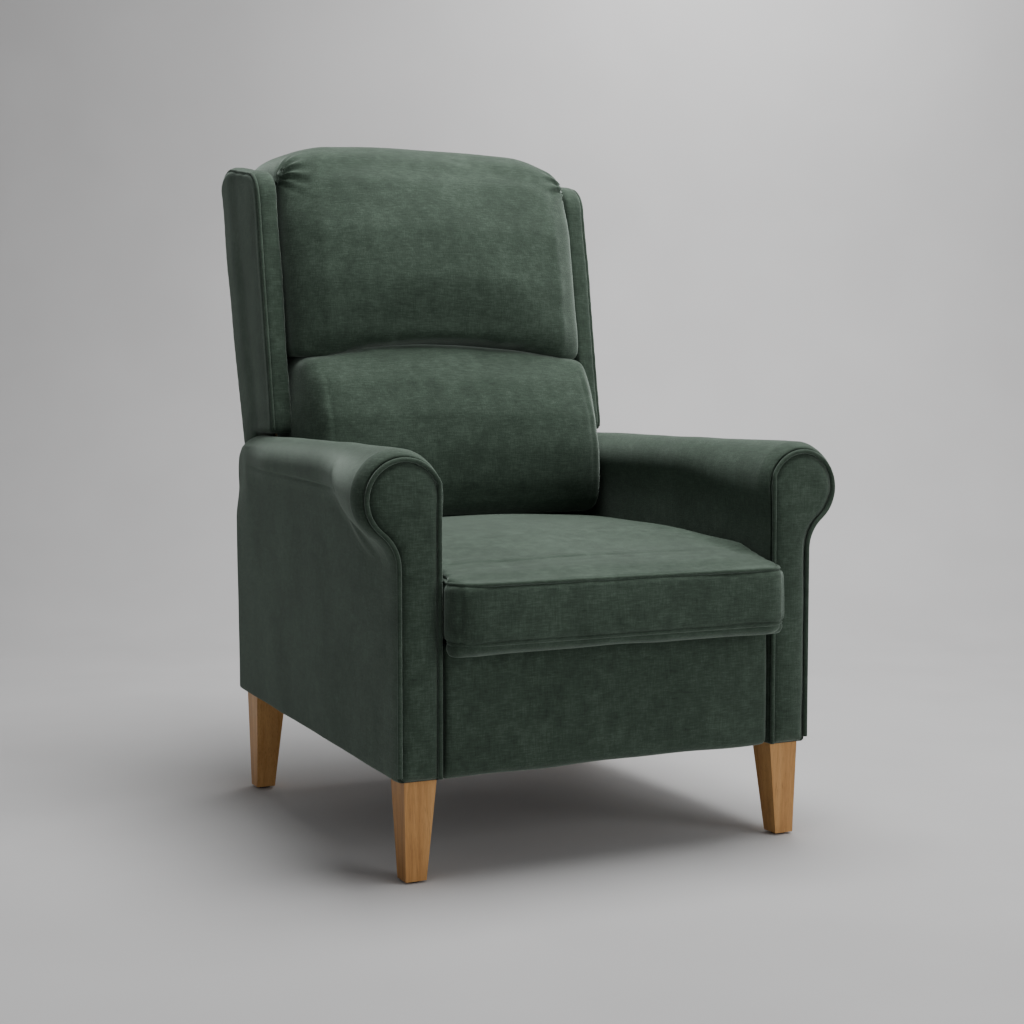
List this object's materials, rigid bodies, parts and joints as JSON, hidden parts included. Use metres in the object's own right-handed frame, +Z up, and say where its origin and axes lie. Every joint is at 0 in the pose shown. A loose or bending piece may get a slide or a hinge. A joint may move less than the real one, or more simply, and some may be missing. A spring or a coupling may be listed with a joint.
{
  "type": "recliner armchair",
  "caption": "Push-back wing recliner with rolled arms, loose seat cushion, arched back cushions, folding footrest and tapered wooden legs.",
  "frame": {"origin": "centre of the overall box at rest, on the floor", "axes": "+X to the right seen from the front, -Y towards the front of the chair, +Z up"},
  "size_m": [0.7818, 0.9327, 1.103],
  "materials": {
    "upholstery": "matte",
    "piping": "matte",
    "platform_cloth": "matte",
    "webbing": "matte",
    "oak": "satin",
    "timber": "matte",
    "steel": "satin",
    "fastener": "satin",
    "glide": "matte"
  },
  "bodies": {
    "base": {"leg_front_left": "oak", "leg_front_right": "oak", "leg_rear_left": "oak", "leg_rear_right": "oak", "leg_glides": "glide", "leg_bolts": "fastener", "arm_frame_left": "timber", "arm_frame_right": "timber", "arm_cover_left": "upholstery", "arm_cover_right": "upholstery", "arm_facing_left": "upholstery", "arm_facing_right": "upholstery", "arm_piping_left": "piping", "arm_piping_right": "piping", "rear_rail": "timber", "rear_base_panel": "upholstery", "mechanism_plate_left": "steel", "mechanism_plate_right": "steel", "mechanism_bolts": "fastener", "base_cross_tubes": "steel", "seat_link_base_pins": "fastener", "back_guide_pins": "fastener"},
    "front_links": {"seat_front_links": "steel", "seat_torque_tube": "steel"},
    "rear_links": {"seat_rear_links": "steel"},
    "seat": {"seat_rail_left": "steel", "seat_rail_right": "steel", "seat_front_rail": "timber", "seat_rear_rail": "timber", "seat_webbing": "webbing", "seat_deck": "platform_cloth", "seat_cushion": "upholstery", "seat_link_top_pins": "fastener", "footrest_mount_pins": "fastener", "back_hinge_pins": "fastener"},
    "back": {"back_frame": "timber", "back_bracket_left": "steel", "back_bracket_right": "steel", "back_bracket_bolts": "fastener", "back_webbing": "webbing", "lumbar_cushion": "upholstery", "headrest_cushion": "upholstery", "wing_cleats": "timber", "wing_frame_left": "timber", "wing_frame_right": "timber", "wing_cover_left": "upholstery", "wing_cover_right": "upholstery", "outside_back_panel": "upholstery"},
    "footrest_front_links": {"ottoman_front_links": "steel", "ottoman_front_pins": "fastener"},
    "footrest_rear_links": {"ottoman_rear_links": "steel", "ottoman_rear_pins": "fastener"},
    "footrest_carriers": {"ottoman_carriers": "steel", "carrier_pins": "fastener"},
    "footrest_rods": {"footrest_control_rods": "steel"},
    "footrest": {"footrest_brackets": "steel", "footrest_rod_pins": "fastener", "footrest_board": "timber", "footrest_pad": "upholstery"}
  },
  "joints": [
    {"name": "back_recline", "type": "hinge", "parent": "seat", "child": "back", "pos_m": [0, 0.223, 0.34], "axis": [-1, 0, 0], "range_deg": [0, 24]},
    {"name": "front_link_swing", "type": "hinge", "parent": "base", "child": "front_links", "pos_m": [0, -0.017, 0.212], "axis": [1, 0, 0], "range_deg": [0, 28.8]},
    {"name": "rear_link_swing", "type": "hinge", "parent": "base", "child": "rear_links", "pos_m": [0, 0.143, 0.212], "axis": [1, 0, 0], "range_deg": [0, 28.8]},
    {"name": "seat_glide", "type": "hinge", "parent": "front_links", "child": "seat", "pos_m": [0, 0.02949, 0.31169], "axis": [-1, 0, 0], "range_deg": [0, 28.8]},
    {"name": "footrest_unfold", "type": "hinge", "parent": "seat", "child": "footrest_front_links", "pos_m": [0, -0.317, 0.3], "axis": [-1, 0, 0], "range_deg": [0, 120]},
    {"name": "footrest_rear_link_swing", "type": "hinge", "parent": "seat", "child": "footrest_rear_links", "pos_m": [0, -0.25995, 0.271], "axis": [-1, 0, 0], "range_deg": [0, 120]},
    {"name": "footrest_carrier_swing", "type": "hinge", "parent": "footrest_front_links", "child": "footrest_carriers", "pos_m": [0, -0.21447, 0.19747], "axis": [1, 0, 0], "range_deg": [0, 120]},
    {"name": "footrest_rod_swing", "type": "hinge", "parent": "footrest_front_links", "child": "footrest_rods", "pos_m": [0, -0.19701, 0.17065], "axis": [1, 0, 0], "range_deg": [0, 120]},
    {"name": "footrest_flip", "type": "hinge", "parent": "footrest_carriers", "child": "footrest", "pos_m": [0, -0.367, 0.275], "axis": [-1, 0, 0], "range_deg": [0, 90]}
  ],
  "couplings": [
    {"joint": "front_link_swing", "follows": "back_recline", "ratio": 1.2},
    {"joint": "rear_link_swing", "follows": "back_recline", "ratio": 1.2},
    {"joint": "seat_glide", "follows": "back_recline", "ratio": 1.2},
    {"joint": "footrest_unfold", "follows": "back_recline", "ratio": 5},
    {"joint": "footrest_rear_link_swing", "follows": "back_recline", "ratio": 5},
    {"joint": "footrest_carrier_swing", "follows": "back_recline", "ratio": 5},
    {"joint": "footrest_rod_swing", "follows": "back_recline", "ratio": 5},
    {"joint": "footrest_flip", "follows": "back_recline", "ratio": 3.75}
  ]
}
